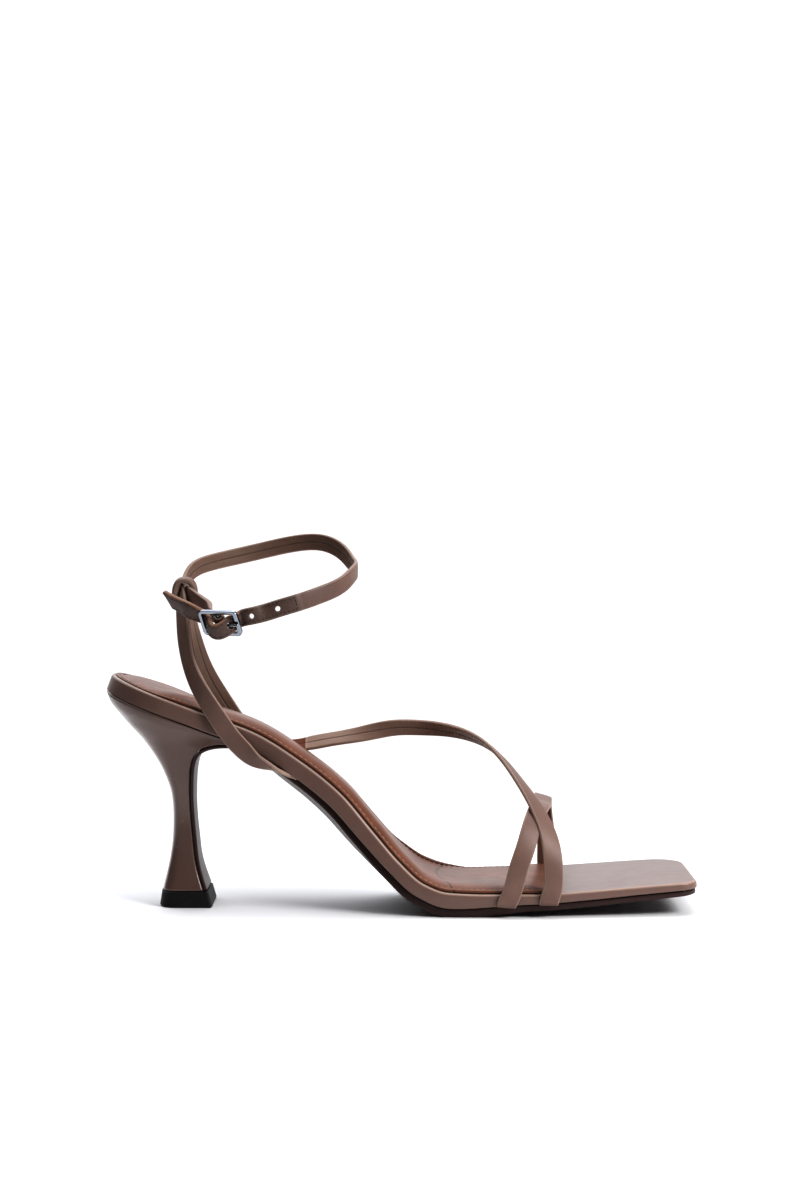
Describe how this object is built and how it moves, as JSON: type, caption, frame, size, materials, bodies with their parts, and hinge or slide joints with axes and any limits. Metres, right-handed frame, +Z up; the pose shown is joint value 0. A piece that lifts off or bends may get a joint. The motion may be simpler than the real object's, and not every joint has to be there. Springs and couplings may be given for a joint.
{
  "type": "high heel shoe",
  "caption": "Strappy right sandal with a square open toe, flared high heel, padded brown sock and a slim buckled strap round the ankle.",
  "frame": {"origin": "centre of the bounding box, on the floor", "axes": "+X to the toe, +Y to the medial side, +Z up"},
  "size_m": [0.225, 0.0757, 0.1425],
  "materials": {
    "taupe_leather": "smooth taupe leather, lightly glossy",
    "footbed_leather": "smooth taupe leather wrapped round the insole board",
    "brown_sock": "padded cognac brown leather, satin",
    "brown_outsole": "dark brown sole leather with a polished edge",
    "glossy_heel": "leather wrapped moulded heel, polished",
    "black_rubber": "matt black rubber",
    "chrome": "polished nickel"
  },
  "bodies": {
    "root": {"footbed": "footbed_leather", "sock": "brown_sock", "outsole": "brown_outsole", "heel": "glossy_heel", "top_piece": "black_rubber", "forefoot_straps": "taupe_leather", "ankle_strap": "taupe_leather", "buckle_strap": "taupe_leather", "keeper_loop": "taupe_leather", "buckle_frame": "chrome", "buckle_prong": "chrome"}
  },
  "joints": []
}
